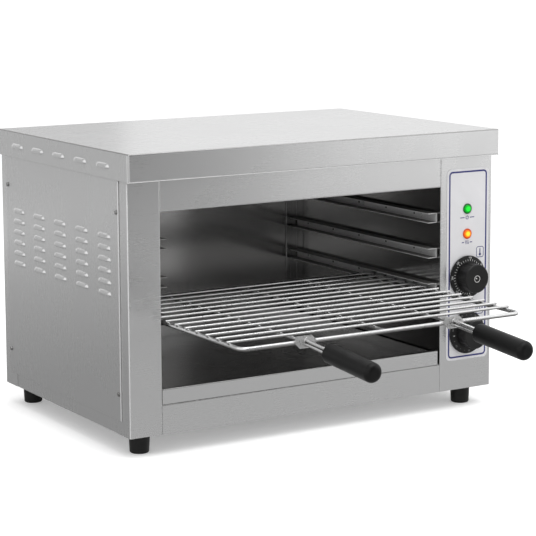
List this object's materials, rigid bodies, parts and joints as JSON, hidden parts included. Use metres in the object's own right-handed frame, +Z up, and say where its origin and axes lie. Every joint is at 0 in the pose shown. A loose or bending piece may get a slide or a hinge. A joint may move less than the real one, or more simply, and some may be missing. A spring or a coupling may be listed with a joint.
{
  "type": "cheese melter",
  "caption": "Countertop cheese melter: steel cabinet with an open heated chamber, a sliding wire rack with two grips, a crumb tray and two dials.",
  "frame": {"origin": "on the table, under the middle of the whole outline with the rack drawn partly out", "axes": "+Z up, -Y towards the open front, +X to the right seen from the front, where the controls are"},
  "size_m": [0.6456, 0.8234, 0.4342],
  "materials": {
    "steel_sheet": "brushed outer sheet",
    "liner_steel": "dull rolled sheet",
    "rail_steel": "dull rolled sheet",
    "tray_steel": "bright rolled sheet",
    "chrome_wire": "bright chrome plate",
    "heater_sheath": "heat-darkened tube",
    "grip_plastic": "satin black moulding",
    "knob_plastic": "satin black moulding",
    "foot_rubber": "matt black moulding",
    "label_film": "satin printed plate with a blue border",
    "green_lens": "clear green moulding",
    "amber_lens": "clear amber moulding",
    "switch_plastic": "pale heat-resistant moulding",
    "gland_plastic": "black moulding",
    "wire_covering": "coloured wire covering",
    "plated_steel": "bright zinc plate",
    "brass": "plain brass",
    "copper_tube": "plain copper alloy",
    "mineral_wool": "fibre blanket"
  },
  "bodies": {
    "cabinet": {"top_cover": "steel_sheet", "left_post": "steel_sheet", "control_panel": "steel_sheet", "top_fascia": "steel_sheet", "bottom_fascia": "steel_sheet", "base_pan": "steel_sheet", "left_side_panel": "steel_sheet", "right_side_panel": "steel_sheet", "back_panel": "steel_sheet", "chamber_left_wall": "liner_steel", "chamber_right_wall": "liner_steel", "chamber_back_wall": "liner_steel", "chamber_ceiling": "liner_steel", "chamber_floor": "liner_steel", "rail_left_low": "rail_steel", "rail_left_middle": "rail_steel", "rail_left_high": "rail_steel", "rail_right_low": "rail_steel", "rail_right_middle": "rail_steel", "rail_right_high": "rail_steel", "rail_rivets": "plated_steel", "bush_nuts": "plated_steel", "foot_fasteners": "plated_steel", "panel_screws": "plated_steel", "heater_hangers": "plated_steel", "heater_front": "heater_sheath", "heater_middle": "heater_sheath", "heater_back": "heater_sheath", "heater_nuts": "brass", "earth_stud": "brass", "ceiling_blanket": "mineral_wool", "left_blanket": "mineral_wool", "label_plate": "label_film", "thermostat_body": "switch_plastic", "timer_body": "switch_plastic", "lamp_holders": "switch_plastic", "terminal_block": "switch_plastic", "thermostat_bulb": "copper_tube", "capillary_tube": "copper_tube", "power_lamp_lens": "green_lens", "heat_lamp_lens": "amber_lens", "wiring_loom": "wire_covering", "cable_gland": "gland_plastic", "gland_nut": "gland_plastic", "foot_front_left": "foot_rubber", "foot_front_right": "foot_rubber", "foot_back_left": "foot_rubber", "foot_back_right": "foot_rubber"},
    "rack": {"wire_rack": "chrome_wire", "handle_plate_left": "chrome_wire", "handle_plate_right": "chrome_wire", "handle_wires_left": "chrome_wire", "handle_wires_right": "chrome_wire", "grip_left": "grip_plastic", "grip_right": "grip_plastic"},
    "tray": {"crumb_tray": "tray_steel"},
    "temperature_dial": {"temperature_knob": "knob_plastic", "thermostat_spindle": "plated_steel"},
    "timer_dial": {"timer_knob": "knob_plastic", "timer_spindle": "plated_steel"}
  },
  "joints": [
    {"name": "rack_slide", "type": "slide", "parent": "cabinet", "child": "rack", "axis": [0, -1, 0], "range_m": [-0.214, 0.14]},
    {"name": "tray_slide", "type": "slide", "parent": "cabinet", "child": "tray", "axis": [0, -1, 0], "range_m": [0, 0.35]},
    {"name": "temperature_turn", "type": "hinge", "parent": "cabinet", "child": "temperature_dial", "pos_m": [0.27, -0.03626, 0.2065], "axis": [0, 1, 0], "range_deg": [0, 270]},
    {"name": "timer_turn", "type": "hinge", "parent": "cabinet", "child": "timer_dial", "pos_m": [0.27, -0.03626, 0.119], "axis": [0, 1, 0], "range_deg": [0, 300]}
  ]
}
